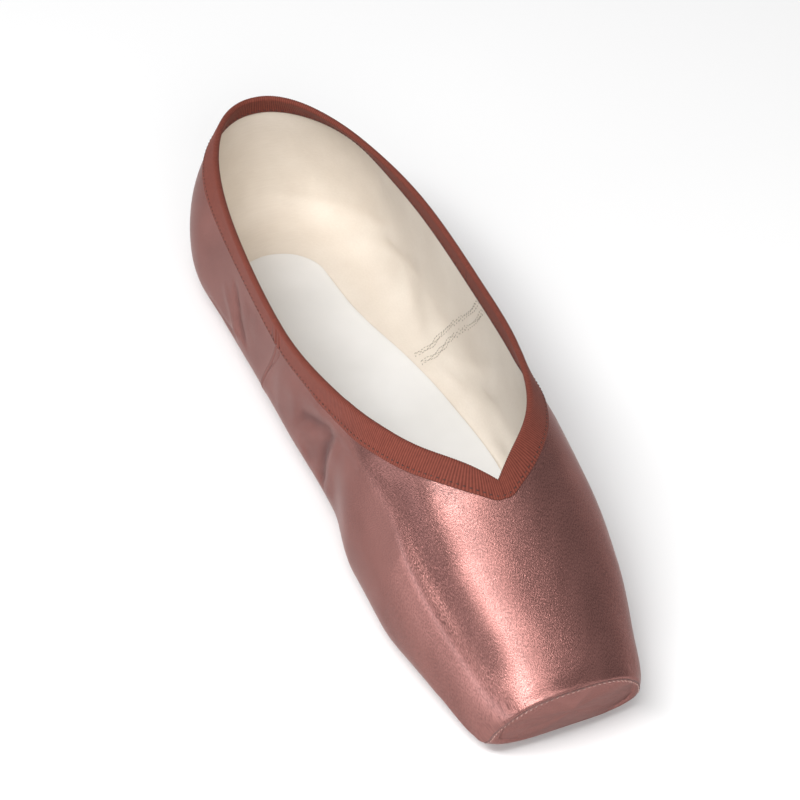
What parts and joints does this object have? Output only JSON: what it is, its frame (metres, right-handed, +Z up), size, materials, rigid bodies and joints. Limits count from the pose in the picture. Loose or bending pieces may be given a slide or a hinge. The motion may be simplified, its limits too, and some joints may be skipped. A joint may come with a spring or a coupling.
{
  "type": "pre-pointe ballet shoe",
  "caption": "Satin pre-pointe ballet shoe with a flat toe platform, hollow upper open at a V-shaped collar, folded tape binding, insole board and thin leather outsole.",
  "frame": {"origin": "on the ground, at the middle of the shoe's length and width", "axes": "+Z up, +Y toward the heel, -Y toward the toe platform, X across the shoe"},
  "size_m": [0.068, 0.246, 0.0611],
  "materials": {
    "sole_leather": "matte suede side out, slightly scuffed",
    "satin": "glossy dusty mauve-brown satin outside, cream cotton lining inside",
    "board": "smooth white coated board",
    "tape": "matt rust-brown ribbed tape"
  },
  "bodies": {
    "root": {"outsole": "sole_leather", "upper": "satin", "insole": "board", "collar_binding": "tape"}
  },
  "joints": []
}
